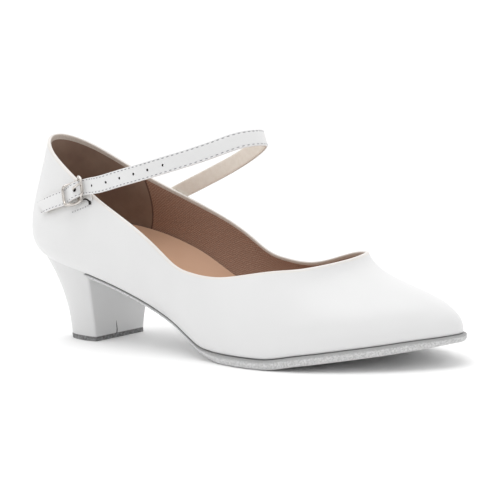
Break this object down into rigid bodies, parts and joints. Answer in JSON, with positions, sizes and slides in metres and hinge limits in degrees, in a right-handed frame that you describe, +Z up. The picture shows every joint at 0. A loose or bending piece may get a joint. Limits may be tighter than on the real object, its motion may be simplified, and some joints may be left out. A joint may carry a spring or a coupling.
{
  "type": "character shoe",
  "caption": "Low-heeled leather character shoe for stage dance: open-collared pump with a covered flared heel and a buckled instep strap.",
  "frame": {"origin": "on the floor, at the middle of the heel's floor face", "axes": "+X towards the toe, +Y towards the medial side (the wearer's other foot), +Z up"},
  "size_m": [0.2537, 0.084, 0.104],
  "materials": {
    "white_leather": "smooth white leather, soft satin sheen",
    "heel_cover": "white covering drawn over the heel block, satin",
    "grey_suede": "grey napped suede with a fuzzy cut edge",
    "lift_rubber": "dark grey matt rubber, slightly ragged at its edge",
    "tan_sock": "tan sock, matt",
    "nickel": "polished plated metal"
  },
  "bodies": {
    "root": {"upper": "white_leather", "insole": "tan_sock", "outsole": "grey_suede", "heel_block": "heel_cover", "top_lift": "lift_rubber", "ankle_strap": "white_leather", "buckle_frame": "nickel", "buckle_bar": "nickel", "buckle_prong": "nickel", "buckle_tab": "white_leather"}
  },
  "joints": []
}
